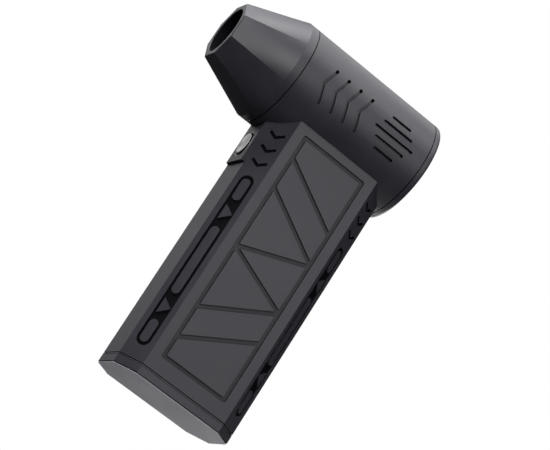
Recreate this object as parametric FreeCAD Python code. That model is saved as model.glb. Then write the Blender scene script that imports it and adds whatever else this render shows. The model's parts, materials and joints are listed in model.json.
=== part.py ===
import FreeCAD, Part
import math
import os

# Handheld cordless turbo blower: an eight-sided battery handle under a round fan barrel.
# Millimetres. +Z is up, the nozzle blows towards -Y, and the origin is the centre of the
# handle's bottom face, on which the blower stands.

os.makedirs("parts", exist_ok=True)
V = FreeCAD.Vector
nodes = {}

# ---- driving dimensions ----
barrel_radius = 25.0
barrel_wall = 2.0
barrel_front = -34.9
barrel_rear = 32.1
axis_height = 146.5
handle_half_depth = 30.35
handle_half_width = 18.15
face_half_width = 9.5
chamfer_depth = 8.75
handle_wall = 2.6
saddle_wall = 2.5
plate_flange = 0.2
cap_low = 0.6
cap_height = 4.6
seam_width = 0.4
seam_depth = 0.6

collar_front = -39.2
nozzle_tip = -66.5
tip_corner_radius = 14.6
tip_bevel = 0.35
mouth_bevel = 0.25
outlet_radius = 11.1
outlet_length = 8.0

shroud_bore = 18.6
shroud_outer = 20.2
hub_radius = 10.8
hub_bore = 8.6
shaft_radius = 1.5
tip_gap = 0.35
slip = 0.02

cell_radius = 9.15
cell_pitch = 18.4
cell_length = 65.0
pack_bottom = 24.0

button_height = 111.7
button_radius = 5.6
button_hole_radius = 5.95
disc_radius = 5.35
disc_proud = 0.75
panel_proud = 1.45
panel_bottom = 102.6

# ---- sizes worked out from them ----
bore_radius = barrel_radius - barrel_wall
saddle_radius = barrel_radius + saddle_wall
ring_front = barrel_rear + seam_width
nozzle_back = barrel_front - seam_width
housing_bottom = cap_height + seam_width
pack_top = pack_bottom + cell_length
panel_face = -(handle_half_depth + panel_proud)
front_wall_inner = -(handle_half_depth - handle_wall)
side_wall_inner = handle_half_width - handle_wall
cell_rows = [-cell_pitch, 0.0, cell_pitch]


# ---- building blocks ----
def outline(inset=0.0):
    """Corners of the handle's eight-sided section, with every side moved in by inset."""
    slope = math.atan2(chamfer_depth, handle_half_width - face_half_width)
    nx = math.sin(slope)
    ny = math.cos(slope)
    reach = nx * face_half_width + ny * handle_half_depth - inset
    depth = handle_half_depth - inset
    width = handle_half_width - inset
    face = (reach - ny * depth) / nx
    side = (reach - nx * width) / ny
    half = [(face, -depth), (width, -side), (width, side), (face, depth)]
    return half + [(-x, -y) for x, y in half]


def plate(points, push):
    """Flat polygon through 3D points, pushed along a vector."""
    return Part.Face(Part.makePolygon(points + points[:1])).extrude(push)


def section(inset, low, high):
    """Solid of the handle's section between two heights."""
    return plate([V(x, y, low) for x, y in outline(inset)], V(0, 0, high - low))


def box(x0, x1, y0, y1, z0, z1):
    return Part.makeBox(x1 - x0, y1 - y0, z1 - z0, V(x0, y0, z0))


def rod(radius, start, end):
    """Round bar between two points."""
    way = end.sub(start)
    return Part.makeCylinder(radius, way.Length, start, way)


def round_y(radius, y0, y1):
    """Round bar on the barrel axis."""
    return rod(radius, V(0, y0, axis_height), V(0, y1, axis_height))


def ring_y(outer, inner, y0, y1):
    return round_y(outer, y0, y1).cut(round_y(inner, y0 - 1, y1 + 1))


def spin_y(profile):
    """Solid of revolution about the barrel axis; profile is (radius, y) corners."""
    points = [V(0, y, axis_height + r) for r, y in profile]
    face = Part.Face(Part.makePolygon(points + points[:1]))
    return face.revolve(V(0, 0, axis_height), V(0, 1, 0), 360)


def turned(shape, angle):
    """Copy turned about the barrel axis; a positive angle takes +Z towards +X."""
    return shape.rotated(V(0, 0, axis_height), V(0, 1, 0), angle)


def around(shape, count):
    return [turned(shape, 360.0 * i / count) for i in range(count)]


def both_sides(shape):
    return [shape, shape.mirror(V(0, 0, 0), V(1, 0, 0))]


def four_corners(shape):
    fronts = both_sides(shape)
    return fronts + [s.mirror(V(0, 0, 0), V(0, 1, 0)) for s in fronts]


def fuse(shapes):
    solid = shapes[0]
    for other in shapes[1:]:
        solid = solid.fuse(other)
    return solid.removeSplitter()


def cut(solid, tools):
    return solid.cut(Part.makeCompound(tools))


def group(shapes):
    return Part.makeCompound(shapes)


def screw(seat, way, shank, length, head, head_height):
    """Pan-head screw: seat is the centre of the head's underside, way points at the tip."""
    top = seat.sub(V(way) * head_height)
    body = rod(head, top, seat).fuse(rod(shank, seat, seat.add(V(way) * length)))
    slot_depth = head_height * 0.55
    arm = Part.makeBox(head * 1.3, head * 0.3, slot_depth, V(-head * 0.65, -head * 0.15, 0))
    cross = arm.fuse(arm.rotated(V(0, 0, 0), V(0, 0, 1), 90))
    cross.Placement = FreeCAD.Placement(top, FreeCAD.Rotation(V(0, 0, 1), V(way)))
    return body.cut(cross)


def lead(points, radius):
    """Wire of straight runs joined by tangent arcs, with a round section."""
    edges = []
    start = points[0]
    for before, corner, after in zip(points, points[1:], points[2:]):
        come = corner.sub(before)
        go = after.sub(corner)
        half_turn = come.getAngle(go) / 2
        cut_back = 0.45 * min(come.Length, go.Length)
        bend = cut_back / math.tan(half_turn)
        enter = corner.sub(V(come).normalize() * cut_back)
        leave = corner.add(V(go).normalize() * cut_back)
        inward = V(go).normalize().sub(V(come).normalize()).normalize()
        centre = corner.add(inward * (bend / math.cos(half_turn)))
        middle = centre.sub(inward * bend)
        edges.append(Part.makeLine(start, enter))
        edges.append(Part.Arc(enter, middle, leave).toShape())
        start = leave
    edges.append(Part.makeLine(start, points[-1]))
    path = Part.Wire(edges)
    first_run = points[1].sub(points[0])
    profile = Part.Wire(Part.makeCircle(radius, points[0], first_run))
    return path.makePipeShell([profile], True, False)


def blade(root, tip, chord, stagger, camber, thickness, y_middle):
    """Cambered blade that stands out along +Z from the barrel axis."""
    half = chord / 2
    rise = thickness / 2
    outer = Part.Arc(V(-half, 0, 0), V(0, camber + rise, 0), V(half, 0, 0)).toShape()
    inner = Part.Arc(V(half, 0, 0), V(0, camber - rise, 0), V(-half, 0, 0)).toShape()
    solid = Part.Face(Part.Wire([outer, inner])).extrude(V(0, 0, tip - root))
    solid = solid.rotated(V(0, 0, 0), V(0, 0, 1), stagger)
    return solid.translated(V(0, y_middle, axis_height + root))


# ---- nozzle ----
def nozzle_section(radius, y, flat):
    """Eight-cornered section of the nozzle: straight sides if flat, else arcs."""
    def point(angle):
        turn = math.radians(angle)
        return V(radius * math.sin(turn), y, axis_height + radius * math.cos(turn))
    edges = []
    for i in range(8):
        first = 22.5 + 45 * i
        if flat:
            edges.append(Part.makeLine(point(first), point(first + 45)))
        else:
            edges.append(Part.Arc(point(first), point(first + 22.5), point(first + 45)).toShape())
    return Part.Wire(edges)


def nozzle():
    spigot_radius = bore_radius - 0.3
    spigot_back = nozzle_back + 6.4
    shoulder_radius = barrel_radius - seam_depth
    bevel_y = nozzle_tip + tip_bevel
    facets = Part.makeLoft([nozzle_section(barrel_radius, collar_front, False),
                            nozzle_section(tip_corner_radius, bevel_y, True)], True, True)
    bevel = Part.makeLoft([nozzle_section(tip_corner_radius, bevel_y, True),
                           nozzle_section(tip_corner_radius - tip_bevel, nozzle_tip, True)],
                          True, True)
    collar = round_y(barrel_radius, collar_front, nozzle_back)
    shoulder = round_y(shoulder_radius, nozzle_back, barrel_front)
    spigot = round_y(spigot_radius, barrel_front, spigot_back)
    body = facets.fuse([bevel, collar, shoulder, spigot])
    mouth = nozzle_tip + mouth_bevel
    throat = mouth + outlet_length
    channel = spin_y([(0, nozzle_tip - 1), (outlet_radius + mouth_bevel + 1, nozzle_tip - 1),
                      (outlet_radius, mouth), (outlet_radius, throat),
                      (20.6, collar_front - 1.3), (20.6, spigot_back + 1), (0, spigot_back + 1)])
    seal_groove = ring_y(spigot_radius + 1, bore_radius - 1.1, -32.6, -30.9)
    return cut(body, [channel, seal_groove]).removeSplitter()


def nozzle_seal():
    section_radius = 0.54
    centre = bore_radius - section_radius - slip
    return Part.makeTorus(centre, section_radius, V(0, -31.75, axis_height), V(0, 1, 0))


# ---- barrel ----
groove_rows = [-21.64, -14.96, -8.28, -1.60]
bent_width = 1.25
bent_depth = 0.8
slot_rows = [(19.35, 10.6), (9.95, 15.9), (0.35, 21.2), (-8.65, 15.9), (-18.65, 10.6)]
slot_middle = 15.05
slot_width = 1.35
slot_floor = barrel_radius - 1.5
lead_hole_y = -18.4
lead_hole_radius = 3.22
neck_rows = [-3.0, 21.0]
neck_angles = [162, -162]


def bent_groove(y_top):
    """Shallow bent line in the barrel's side with a small blind hole at its upper end."""
    high = V(0, y_top, axis_height + 8.2)
    elbow = V(0, y_top - 2.9, axis_height)
    low = V(0, y_top + 0.15, axis_height - 8.0)
    push = V(barrel_radius + 1, 0, 0)
    strokes = [band(high, elbow, bent_width, push), band(elbow, low, bent_width, push)]
    round_ends = [rod(bent_width / 2, place, place.add(push)) for place in (elbow, low)]
    core = round_y(barrel_radius - bent_depth, -60, 60)
    hole = rod(0.8, high.add(V(barrel_radius - 6, 0, 0)), high.add(push))
    return fuse([fuse(strokes + round_ends).cut(core), hole])


def band(start, end, width, push):
    """Straight strip between two points in a plane of constant x, pushed along x."""
    along = end.sub(start).normalize()
    across = V(0, -along.z, along.y) * (width / 2)
    return plate([start.add(across), end.add(across), end.sub(across), start.sub(across)], push)


def side_slot(angle, length):
    """Blind slot along the barrel with round ends."""
    half = (length - slot_width) / 2
    reach = barrel_radius + 1
    body = box(slot_floor, reach, slot_middle - half, slot_middle + half,
               axis_height - slot_width / 2, axis_height + slot_width / 2)
    ends = [rod(slot_width / 2, V(slot_floor, y, axis_height), V(reach, y, axis_height))
            for y in (slot_middle - half, slot_middle + half)]
    return turned(fuse([body] + ends), -angle)


def neck_bar(radius, inner, outer, y, angle):
    """Round bar that points away from the barrel axis at one neck screw."""
    bar = rod(radius, V(0, y, axis_height + inner), V(0, y, axis_height + outer))
    return turned(bar, angle)


def barrel_housing():
    tube = ring_y(barrel_radius, bore_radius, barrel_front, barrel_rear)
    tools = []
    for y in groove_rows:
        tools += both_sides(bent_groove(y))
    for angle, length in slot_rows:
        tools += both_sides(side_slot(angle, length))
    tools.append(rod(lead_hole_radius, V(0, lead_hole_y, axis_height - 30),
                     V(0, lead_hole_y, axis_height - 15)))
    for y in neck_rows:
        for angle in neck_angles:
            tools.append(neck_bar(1.07, bore_radius - 2, 30, y, angle))
            tools.append(neck_bar(2.3, bore_radius - 2, bore_radius + 0.25, y, angle))
    return cut(tube, tools)


def rear_ring():
    edge = [(barrel_radius, ring_front), (barrel_radius, 34.3), (24.85, 34.9), (24.5, 35.3),
            (24.0, 35.5), (20.2, 35.5), (20.2, 34.7), (21.0, 34.7), (21.0, 27.0),
            (bore_radius - 0.05, 27.0), (bore_radius - 0.05, barrel_rear),
            (barrel_radius - seam_depth, barrel_rear), (barrel_radius - seam_depth, ring_front)]
    return spin_y(edge)


def intake_grille():
    """Round guard of concentric rings and six spokes, behind the rear ring's lip."""
    y0 = 33.1
    y1 = 34.7
    rings = [ring_y(outer, outer - 1.2, y0, y1) for outer in (20.95, 16.6, 12.2, 7.8)]
    centre = round_y(3.4, y0, y1)
    spoke = box(-0.7, 0.7, y0, y1, axis_height + 2, axis_height + 20.5)
    return fuse(rings + [centre] + around(spoke, 6))


def dust_mesh():
    """Thin round filter sheet with holes on a six-sided grid."""
    y0 = 32.75
    y1 = 33.1
    pitch = 2.5
    hole_radius = 0.95
    holes = []
    for row in range(-9, 10):
        z = row * pitch * math.sqrt(3) / 2
        for col in range(-9, 10):
            x = (col + 0.5 * (row % 2)) * pitch
            if math.hypot(x, z) < 18.6:
                holes.append(rod(hole_radius, V(x, y0 - 1, axis_height + z), V(x, y1 + 1, axis_height + z)))
    return cut(round_y(20.9, y0, y1), holes)


def filter_clip():
    """Open spring ring that keeps the filter sheet against the grille."""
    gap = box(-2.5, 2.5, 30, 34, axis_height + 18, axis_height + 22)
    return ring_y(20.95, 19.7, 32.0, 32.75).cut(gap)


# ---- fan and motor ----
frame_front = -13.0
frame_rear = 6.0
flange_front = -14.4
bearing_radius = 4.0
bearing_width = 3.0
bearing_starts = [-12.2, 2.5]


def motor_frame():
    """Outer ring, nine guide vanes and the hub that holds the motor."""
    hub = spin_y([(hub_radius, frame_front), (hub_radius, frame_rear), (3.3, frame_rear), (3.3, 5.5),
                  (bearing_radius + slip, 5.5), (bearing_radius + slip, 2.0), (hub_bore, 2.0),
                  (hub_bore, frame_front)])
    ring = ring_y(shroud_outer, shroud_bore, frame_front, frame_rear)
    vane = blade(hub_radius - 0.8, shroud_bore + 0.8, 14.0, 72, 1.6, 1.3, -4.0)
    bore = round_y(hub_bore, frame_front, 2.0)
    screw_holes = around(rod(0.72, V(0, frame_front - 1, axis_height + 9.7),
                             V(0, -7, axis_height + 9.7)), 3)
    vanes = [v.cut(bore) for v in around(vane, 9)]
    return cut(fuse([ring, hub] + vanes), screw_holes)


def intake_shroud():
    """Smooth bell-mouthed tube round the impeller."""
    return spin_y([(shroud_outer, frame_rear), (shroud_outer, 22.6), (20.9, 24.0), (20.3, 24.0),
                   (19.2, 23.2), (shroud_bore, 21.6), (shroud_bore, frame_rear)])


def rubber_ring(y0):
    """Soft mount between the fan module and the barrel, with three bumps on its outside."""
    core = ring_y(bore_radius - 0.9, shroud_outer + slip, y0, y0 + 4)
    rib = ring_y(bore_radius - slip, bore_radius - 1.2, y0 + 0.4, y0 + 1.2)
    ribs = [rib.translated(V(0, step, 0)) for step in (0, 1.2, 2.4)]
    return fuse([core] + ribs)


def impeller():
    tip = shroud_bore - tip_gap
    hub = spin_y([(10.6, 6.5), (10.6, 8.5), (9.8, 13.0), (8.0, 17.0), (5.4, 19.0),
                  (shaft_radius + slip, 19.0), (shaft_radius + slip, 6.5)])
    wing = blade(5.6, tip + 1.5, 13.5, 38, 1.5, 1.0, 12.4)
    envelope = round_y(tip, 7.0, 18.6).cut(round_y(5.5, 0, 25))
    wings = [w.common(envelope) for w in around(wing, 11)]
    return fuse([hub] + wings)


def impeller_nut():
    """Domed lock nut on the end of the shaft."""
    dome = spin_y([(0, 19.0), (3.2, 19.0), (3.2, 20.6), (2.6, 21.8), (1.5, 22.6), (0, 22.9)])
    return dome.cut(round_y(shaft_radius + slip, 18, 21.5))


def motor_shaft():
    return round_y(shaft_radius, -12.6, 21.4)


def rotor_magnet():
    return ring_y(4.2, shaft_radius + slip, -7.0, 0.2)


def bearing_outer_rings():
    return group([ring_y(bearing_radius, 3.35, y, y + bearing_width) for y in bearing_starts])


def bearing_inner_rings():
    return group([ring_y(2.15, shaft_radius + slip / 2, y, y + bearing_width) for y in bearing_starts])


def bearing_balls():
    balls = []
    for y in bearing_starts:
        ball = Part.makeSphere(0.55, V(0, y + bearing_width / 2, axis_height + 2.75))
        balls += around(ball, 7)
    return group(balls)


def stator_core():
    """Laminated ring with six teeth, between the rotor magnet and the hub."""
    y0 = -6.4
    y1 = -0.4
    yoke = ring_y(hub_bore - slip, 7.5, y0, y1)
    tooth = box(-0.8, 0.8, y0, y1, axis_height + 4.6, axis_height + 7.8)
    shoe = box(-1.7, 1.7, y0, y1, axis_height + 4.4, axis_height + 5.1)
    gap_bore = round_y(4.5, y0 - 1, y1 + 1)
    return fuse([yoke] + around(tooth, 6) + around(shoe, 6)).cut(gap_bore)


def stator_windings():
    coil = box(-1.75, 1.75, -7.6, 0.8, axis_height + 5.2, axis_height + 7.2)
    coil = coil.makeFillet(0.5, [e for e in coil.Edges if abs(e.Length - 2.0) < 0.01])
    window = box(-0.82, 0.82, -6.42, -0.38, axis_height + 5, axis_height + 8)
    return group(around(coil.cut(window), 6))


def motor_end_cap():
    """Front plate of the motor: closes the hub and holds the front bearing."""
    plug_rear = -8.8
    body = spin_y([(3.3, flange_front), (hub_radius, flange_front), (hub_radius, frame_front),
                   (hub_bore - slip, frame_front), (hub_bore - slip, plug_rear),
                   (bearing_radius + slip, plug_rear), (bearing_radius + slip, -12.2), (3.3, -12.2)])
    holes = around(rod(0.75, V(0, -16, axis_height + 9.7), V(0, -12, axis_height + 9.7)), 3)
    sinks = around(rod(1.4, V(0, -16, axis_height + 9.7), V(0, -13.6, axis_height + 9.7)), 3)
    return cut(body, holes + sinks)


def motor_screws():
    one = screw(V(0, -13.6, axis_height + 9.7), V(0, 1, 0), 0.7, 5.0, 1.35, 0.8)
    return group(around(one, 3))


def tail_cone():
    """Hollow cone that closes the air stream behind the motor, with a slot for its leads."""
    cone = spin_y([(hub_radius, flange_front), (10.2, -17.5), (8.2, -21.5), (5.2, -25.0),
                   (0, -26.6), (0, -25.4), (4.6, -24.0), (7.3, -20.8), (9.1, -17.2),
                   (9.5, flange_front)])
    slot = box(-2.7, 2.7, -19.7, -17.1, axis_height - 13, axis_height - 4)
    return cone.cut(slot)


# ---- handle ----
groove_depth = 0.6
recess_depth = 1.2
inlay_thickness = 0.6
recess_half_width = 3.45
island_half_width = 2.1
recess_span = (11.4, 97.4)
pill_spans = [(13.0, 23.9), (37.2, 71.1), (84.9, 95.7)]
triangle_tops = [34.1, 82.0]
chevron_vertices = [103.0, 110.3, 117.6]
chevron_width = 1.4
chevron_arms = [(-3.75, 2.15), (0, 0), (3.75, 2.15)]
screw_post = V(13.0, 16.0, 0)
board_posts = [-11.0, 23.0]
frame_outer = (17.0, 11.7, 125.4)
frame_inner = (15.1, 13.5, 123.5)
diagonals = [(113.8, 96.8), (98.5, 81.5), (68.7, 80.2), (67.9, 56.3), (37.8, 55.6), (22.6, 40.6)]


def side_grooves():
    """Sunk frame and six slanting grooves that leave raised triangles in each side."""
    depth_x = handle_half_width - groove_depth
    push = V(groove_depth + 1, 0, 0)
    half, low, high = frame_outer
    inner_half, inner_low, inner_high = frame_inner
    rim = box(depth_x, depth_x + push.x, -half, half, low, high)
    round_edges = [e for e in rim.Edges if abs(e.Length - push.x) < 0.01]
    rim = rim.makeFillet(1.2, round_edges)
    frame = rim.cut(box(depth_x, depth_x + 3, -inner_half, inner_half, inner_low, inner_high))
    strokes = []
    for z_front, z_rear in diagonals:
        start = V(depth_x, -inner_half - 0.4, z_front)
        end = V(depth_x, inner_half + 0.4, z_rear)
        strokes.append(band(start, end, 2.0, push))
    return fuse([frame] + strokes)


def on_chamfer(shape):
    """Move a shape drawn on the plane y = 0, facing -Y, onto the front right chamfer."""
    run = handle_half_width - face_half_width
    angle = math.degrees(math.atan2(chamfer_depth, run))
    middle = V(face_half_width + run / 2, -handle_half_depth + chamfer_depth / 2, 0)
    return shape.rotated(V(0, 0, 0), V(0, 0, 1), angle).translated(middle)


def pill(half_width, low, high, y0, y1):
    """Upright bar with round ends, on the plane y = 0."""
    bottom = low + half_width
    top = high - half_width
    ends = [rod(half_width, V(0, y0, z), V(0, y1, z)) for z in (bottom, top)]
    return fuse([box(-half_width, half_width, y0, y1, bottom, top)] + ends)


def islands(y0, y1):
    shapes = [pill(island_half_width, low, high, y0, y1) for low, high in pill_spans]
    for top in triangle_tops:
        corners = [V(-island_half_width, y0, top), V(-island_half_width, y0, top - 7.4),
                   V(island_half_width + 0.9, y0, top - 3.7)]
        shapes.append(plate(corners, V(0, y1 - y0, 0)))
    return shapes


def chamfer_recess():
    """Long sunk slot of one chamfer, with its flush islands left standing."""
    slot = pill(recess_half_width, recess_span[0], recess_span[1], -1, recess_depth)
    return on_chamfer(slot.cut(Part.makeCompound(islands(-2, recess_depth + 1))))


def chevrons(width, y0, y1):
    """Three arrow marks above the slot of one chamfer, pointing down."""
    marks = []
    for vertex in chevron_vertices:
        for (xa, za), (xb, zb) in zip(chevron_arms, chevron_arms[1:]):
            length = math.hypot(xb - xa, zb - za)
            nx = -(zb - za) / length * width / 2
            nz = (xb - xa) / length * width / 2
            corners = [V(xa + nx, y0, vertex + za + nz), V(xb + nx, y0, vertex + zb + nz),
                       V(xb - nx, y0, vertex + zb - nz), V(xa - nx, y0, vertex + za - nz)]
            marks.append(plate(corners, V(0, y1 - y0, 0)))
        marks.append(rod(width / 2, V(0, y0, vertex), V(0, y1, vertex)))
    return on_chamfer(fuse(marks))


def port_opening(half_width, half_height, y0, y1):
    """Round-ended bar along Y at the charging port's place."""
    middle = half_width - half_height
    ends = [rod(half_height, V(x, y0, port_height), V(x, y1, port_height)) for x in (-middle, middle)]
    body = box(-middle, middle, y0, y1, port_height - half_height, port_height + half_height)
    return fuse([body] + ends)


def handle_housing():
    outer = section(0, housing_bottom, axis_height).fuse(raised_panel())
    outer = outer.cut(round_y(barrel_radius, -60, 60))
    saddle = round_y(saddle_radius, -60, 60)
    cavity = section(handle_wall, 0, axis_height).cut(saddle)
    shell = outer.cut(cavity)
    posts = four_corners(rod(3.0, V(screw_post.x, screw_post.y, housing_bottom + seam_width),
                             V(screw_post.x, screw_post.y, 19.5)))
    ledges = four_corners(box(8.5, side_wall_inner + 1, 6.5, 9.5, 18.5, 20.0))
    board_bars = [rod(2.5, V(-side_wall_inner - 1, y, 98), V(0, y, 98)) for y in board_posts]
    switch_bars = both_sides(rod(1.9, V(9.5, front_wall_inner - 1, button_height),
                                 V(9.5, switch_plate_front, button_height)))
    necks = [neck_bar(2.8, saddle_radius - 1.5, 36, y, a) for y in neck_rows for a in neck_angles]
    inside = section(handle_wall / 2, housing_bottom, axis_height)
    fittings = [f.common(inside) for f in posts + ledges + board_bars + switch_bars + necks]
    body = fuse([shell] + fittings)
    tools = []
    tools += both_sides(side_grooves())
    tools += four_corners(chamfer_recess())
    tools += four_corners(chevrons(chevron_width, -1, recess_depth))
    tools += four_corners(rod(0.95, V(screw_post.x, screw_post.y, 4), V(screw_post.x, screw_post.y, 16)))
    tools += [rod(0.97, V(-9, y, 98), V(1, y, 98)) for y in board_posts]
    tools += both_sides(rod(0.77, V(9.5, -26.5, button_height), V(9.5, -20, button_height)))
    tools += [neck_bar(1.07, 20, 35, y, a) for y in neck_rows for a in neck_angles]
    tools.append(rod(lead_hole_radius, V(0, lead_hole_y, 110), V(0, lead_hole_y, 130)))
    tools.append(rod(button_hole_radius, V(0, -40, button_height), V(0, -24, button_height)))
    tools.append(rod(ring_radius + slip, V(0, -40, button_height),
                     V(0, panel_face + ring_depth, button_height)))
    tools.append(port_opening(4.75, 1.85, 25, 35))
    return cut(body, tools)


def grip_inlays():
    """Soft black strips in the floors of each chamfer's slot and arrow marks."""
    floor = pill(recess_half_width - 0.03, recess_span[0] + 0.03, recess_span[1] - 0.03,
                 recess_depth - inlay_thickness, recess_depth)
    strip = floor.cut(Part.makeCompound(islands(-2, recess_depth + 1)))
    arrows = chevrons(chevron_width - 0.06, recess_depth - inlay_thickness, recess_depth)
    return group(four_corners(on_chamfer(strip)) + four_corners(arrows))


# ---- button and its board ----
switch_board_front = -21.6
switch_plate_front = -22.8
board_thickness = 1.2
tact_front = -24.9
flange_gap = 0.3
ring_radius = 6.4
ring_depth = 0.6
disc_back = panel_face + 0.2


def raised_panel():
    """Raised part of the handle's front face; its sides carry on the chamfers."""
    narrowing = panel_proud * (handle_half_width - face_half_width) / chamfer_depth
    back = face_half_width
    front = face_half_width - narrowing
    corners = [V(back, -handle_half_depth, panel_bottom), V(front, panel_face, panel_bottom),
               V(-front, panel_face, panel_bottom), V(-back, -handle_half_depth, panel_bottom)]
    return plate(corners, V(0, 0, axis_height - panel_bottom))


def spin_button(profile):
    """Solid of revolution about the button's axis; profile is (radius, y) corners."""
    points = [V(0, y, button_height + r) for r, y in profile]
    face = Part.Face(Part.makePolygon(points + points[:1]))
    return face.revolve(V(0, 0, button_height), V(0, 1, 0), 360)


def button_ring():
    """Thin bright ring round the button's hole, a little proud of the panel."""
    back = panel_face + ring_depth
    return spin_button([(button_hole_radius, back), (button_hole_radius, panel_face + 0.05),
                        (button_hole_radius + 0.12, panel_face - 0.1),
                        (ring_radius - 0.12, panel_face - 0.1), (ring_radius, panel_face),
                        (ring_radius, back)])


def power_button():
    """Black round button with a flange behind the wall and a seat for its metal disc."""
    body_front = panel_face - disc_proud + 0.2
    flange_front_y = front_wall_inner + flange_gap
    flange_back = flange_front_y + 1.0
    return spin_button([(0, disc_back), (disc_radius + slip, disc_back),
                        (disc_radius + slip, body_front), (button_radius, body_front),
                        (button_radius, flange_front_y), (7.2, flange_front_y),
                        (7.2, flange_back), (0, flange_back)])


def button_disc():
    """Metal disc let into the button's front, bevelled and slightly dished."""
    front = panel_face - disc_proud
    disc = spin_button([(0, front), (disc_radius - 0.4, front), (disc_radius, front + 0.18),
                        (disc_radius, disc_back), (0, disc_back)])
    dish = Part.makeSphere(60, V(0, front - 59.85, button_height))
    return disc.cut(dish)


def tact_plunger():
    back = front_wall_inner + flange_gap + 1.0
    return rod(1.6, V(0, back, button_height), V(0, tact_front + 0.5, button_height))


def tact_switch():
    body = box(-3.1, 3.1, tact_front, switch_board_front, button_height - 3.1, button_height + 3.1)
    well = rod(1.65, V(0, tact_front - 1, button_height), V(0, tact_front + 1.8, button_height))
    return body.cut(well)


def switch_plate():
    """Angled plate that closes off the room behind the button and carries its board."""
    low = 102.0
    wall = box(-20, 20, switch_plate_front, switch_board_front, low, axis_height)
    shelf = box(-20, 20, front_wall_inner - 5, switch_board_front, low, low + 1.2)
    inside = section(handle_wall + 0.05, low, axis_height).cut(round_y(saddle_radius + 0.05, -60, 60))
    body = wall.fuse(shelf).common(inside)
    window = box(-3.2, 3.2, -30, -20, button_height - 3.2, button_height + 3.2)
    sleeve_room = rod(4.5, V(0, lead_hole_y, axis_height - 28.7), V(0, lead_hole_y, axis_height))
    bars = both_sides(rod(0.8, V(9.5, -24, button_height), V(9.5, -20, button_height)))
    return cut(body, [window, sleeve_room] + bars)


def switch_board():
    board = box(-12, 12, switch_board_front, switch_board_front + board_thickness,
                button_height - 6, button_height + 6)
    return cut(board, both_sides(rod(0.8, V(9.5, -24, button_height), V(9.5, -18, button_height))))


def switch_board_screws():
    seat = V(9.5, switch_board_front + board_thickness, button_height)
    return group(both_sides(screw(seat, V(0, -1, 0), 0.75, 6.0, 1.5, 1.0)))


# ---- motor control board ----
board_x0 = 0.0
board_x1 = 1.6
plug_front = -13.4
plug_height = 108.8


def control_board():
    board = box(board_x0, board_x1, -14, 26, 94, 117)
    return cut(board, [rod(1.05, V(-1, y, 98), V(3, y, 98)) for y in board_posts])


def control_board_screws():
    return group([screw(V(board_x1, y, 98), V(-1, 0, 0), 0.95, 9.0, 1.9, 1.3) for y in board_posts])


def power_transistors():
    """Six flat chips in two rows that switch the motor's three phases."""
    chips = []
    for y in (1.0, 8.0, 15.0):
        for z in (103.0, 110.0):
            chips.append(box(board_x1, board_x1 + 1.0, y - 2.5, y + 2.5, z - 3.0, z + 3.0))
    return group(chips)


def motor_plug():
    """Three-way plug that joins the motor leads to the board."""
    half_height = 2.4
    top = plug_height + half_height
    body = box(board_x0 - 5.8, board_x0, plug_front, plug_front + 6, plug_height - half_height, top)
    key = box(board_x0 - 4.6, board_x0 - 1.4, plug_front + 1.5, plug_front + 4.5, top, top + 0.6)
    return body.fuse(key)


def control_chip():
    return box(board_x0 - 0.9, board_x0, -6.8, -0.8, 103, 109)


def power_capacitors():
    cans = []
    for y in (3.5, 13.0):
        can = rod(4.0, V(board_x0 - 10.5, y, 103.5), V(board_x0, y, 103.5))
        ring = rod(5.0, V(board_x0 - 2.0, y, 103.5), V(board_x0 - 1.4, y, 103.5))
        ring = ring.cut(rod(3.7, V(board_x0 - 3, y, 103.5), V(board_x0 - 1, y, 103.5)))
        cans.append(can.cut(ring))
    return group(cans)


# ---- battery ----
def battery_cell(y, flipped):
    can = rod(cell_radius, V(0, y, pack_bottom), V(0, y, pack_top - 1.0))
    nub = rod(3.2, V(0, y, pack_top - 1.0), V(0, y, pack_top))
    neck = rod(cell_radius + 1, V(0, y, pack_top - 3.0), V(0, y, pack_top - 2.4))
    neck = neck.cut(rod(cell_radius - 0.35, V(0, y, pack_top - 4), V(0, y, pack_top)))
    cell = can.fuse(nub).cut(neck)
    if flipped:
        cell = cell.rotated(V(0, y, (pack_bottom + pack_top) / 2), V(1, 0, 0), 180)
    return cell


def cell_tray(low, high, pocket_low, pocket_high):
    """Plate with three round pockets for the cells' ends and a window behind each."""
    body = box(-10.4, 10.4, -40, 40, low, high).common(section(handle_wall + 0.3, low, high))
    tools = []
    for y in cell_rows:
        tools.append(rod(cell_radius + 0.1, V(0, y, pocket_low), V(0, y, pocket_high)))
        tools.append(rod(5.0, V(0, y, low - 1), V(0, y, high + 1)))
    return cut(body, tools)


def battery_tray_bottom():
    tray = cell_tray(20.0, 33.0, pack_bottom - 0.5, 34.0)
    strip_room = box(-3.8, 3.8, -22, 22, pack_bottom - 0.5, pack_bottom + 0.1)
    tab_room = box(-12, 0, cell_pitch - 3.6, cell_pitch + 3.6, pack_bottom - 0.5, pack_bottom + 0.1)
    return cut(tray, [strip_room, tab_room])


def battery_tray_top():
    tray = cell_tray(80.0, 92.0, 79.0, pack_top + 0.5)
    return tray.cut(box(-3.8, 3.8, -22, 22, pack_top - 0.1, pack_top + 0.5))


def nickel_strips():
    """Flat links that join the three cells in a row."""
    thickness = 0.25
    low = pack_bottom - thickness
    return group([
        box(-3.5, 3.5, -21.5, 3.0, low, pack_bottom),
        box(-13.3, 3.5, cell_pitch - 3.0, cell_pitch + 3.0, low, pack_bottom),
        box(-3.5, 3.5, -3.0, 21.5, pack_top, pack_top + thickness),
        box(-3.5, 3.5, -21.5, -15.0, pack_top, pack_top + thickness),
    ])


def foam_pads():
    """Soft blocks between the cells and the handle's side walls."""
    pads = []
    for x0, x1 in ((9.3, side_wall_inner - 0.1), (-side_wall_inner + 0.1, -9.3)):
        for y0, y1 in ((-20.0, -8.0), (8.0, 15.5)):
            pads.append(box(x0, x1, y0, y1, 46, 66))
    return group(pads)


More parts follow.
